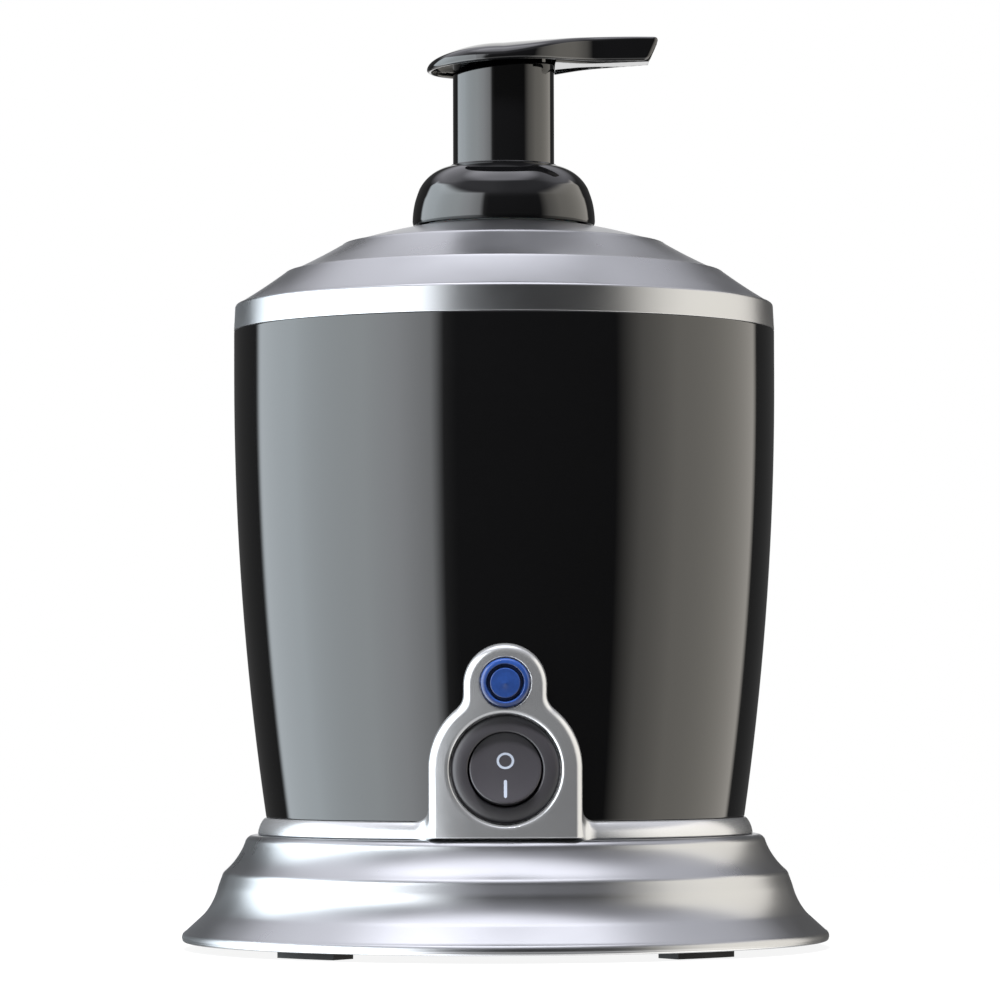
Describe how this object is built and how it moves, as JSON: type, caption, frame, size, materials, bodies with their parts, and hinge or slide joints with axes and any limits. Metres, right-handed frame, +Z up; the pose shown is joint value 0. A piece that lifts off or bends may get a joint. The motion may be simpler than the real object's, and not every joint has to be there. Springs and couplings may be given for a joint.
{
  "type": "hot lather machine",
  "caption": "Barrel-shaped soap heater with a flared base, front rocker switch and lamp, stepped top cover and a swivelling press-down foam pump.",
  "frame": {"origin": "on the floor under the barrel's axis, level with the undersides of the feet", "axes": "+Z up along the barrel's axis, -Y towards the front with its switch, +X along the spout"},
  "size_m": [0.161, 0.161, 0.2277],
  "materials": {
    "satin_silver": "satin silver lacquer on moulded plastic",
    "gloss_black": "high gloss moulded black",
    "switch_black": "fine matte charcoal",
    "lamp_blue": "clear tinted lens",
    "foot_rubber": "matte",
    "black_plastic": "plain moulded",
    "cream_plastic": "plain moulded",
    "natural_plastic": "plain moulded, natural white",
    "tank_aluminium": "drawn sheet, satin",
    "zinc_steel": "zinc plated",
    "spring_steel": "bright drawn wire",
    "element_steel": "heat-tinted sheath",
    "blade_brass": "tinned strip",
    "sensor_metal": "pressed can",
    "seal_rubber": "silicone",
    "insulation": "pressed mineral felt",
    "bulb_glass": "clear",
    "lead_cover": "covered wire"
  },
  "bodies": {
    "housing": {"base_shell": "satin_silver", "deck_plate": "black_plastic", "base_plate": "black_plastic", "foot_front_right": "foot_rubber", "foot_front_left": "foot_rubber", "foot_rear_right": "foot_rubber", "foot_rear_left": "foot_rubber", "switch_panel": "satin_silver", "barrel_shell": "gloss_black", "top_cover": "satin_silver", "tank_pot": "tank_aluminium", "tank_lid": "natural_plastic", "switch_body": "switch_black", "lamp_lens": "lamp_blue", "cord_gland": "black_plastic", "tank_seal": "seal_rubber", "insulation_pad": "insulation", "heater_plate": "tank_aluminium", "heating_element": "element_steel", "heater_bracket": "zinc_steel", "heater_screws": "zinc_steel", "thermostat": "sensor_metal", "thermal_fuse": "sensor_metal", "switch_terminals": "blade_brass", "lamp_holder": "cream_plastic", "lamp_bulb": "bulb_glass", "gland_nut": "black_plastic", "terminal_block": "cream_plastic", "live_lead": "lead_cover", "neutral_lead": "lead_cover", "heater_lead": "lead_cover", "lamp_lead": "lead_cover", "tie_rods": "zinc_steel", "tie_nuts": "zinc_steel", "lid_screws": "zinc_steel", "plate_screws": "zinc_steel"},
    "pump_unit": {"pump_housing": "natural_plastic", "pump_gasket": "seal_rubber", "inlet_ball": "spring_steel", "dip_tube": "natural_plastic", "return_spring": "spring_steel"},
    "collar": {"pump_collar": "gloss_black"},
    "plunger": {"pump_stem": "natural_plastic", "air_piston": "natural_plastic", "liquid_piston": "natural_plastic", "foam_cartridge": "natural_plastic"},
    "head": {"pump_head": "gloss_black", "spout_cover": "gloss_black"},
    "rocker": {"switch_rocker": "switch_black"}
  },
  "joints": [
    {"name": "lift_out", "type": "slide", "parent": "housing", "child": "pump_unit", "axis": [0, 0, 1], "range_m": [0, 0.14]},
    {"name": "collar_turn", "type": "hinge", "parent": "pump_unit", "child": "collar", "pos_m": [0, 0, 0.19], "axis": [0, 0, 1], "range_deg": [0, 60]},
    {"name": "press", "type": "slide", "parent": "pump_unit", "child": "plunger", "axis": [0, 0, -1], "range_m": [0, 0.016], "stiffness_N_per_m": 700, "springref_m": -0.01, "deforming": ["return_spring"]},
    {"name": "head_swivel", "type": "hinge", "parent": "plunger", "child": "head", "pos_m": [0, 0, 0.2], "axis": [0, 0, 1], "continuous": true},
    {"name": "rocker_tilt", "type": "hinge", "parent": "housing", "child": "rocker", "pos_m": [0, -0.06211, 0.04519], "axis": [1, 0, 0], "range_deg": [0, 22]}
  ]
}
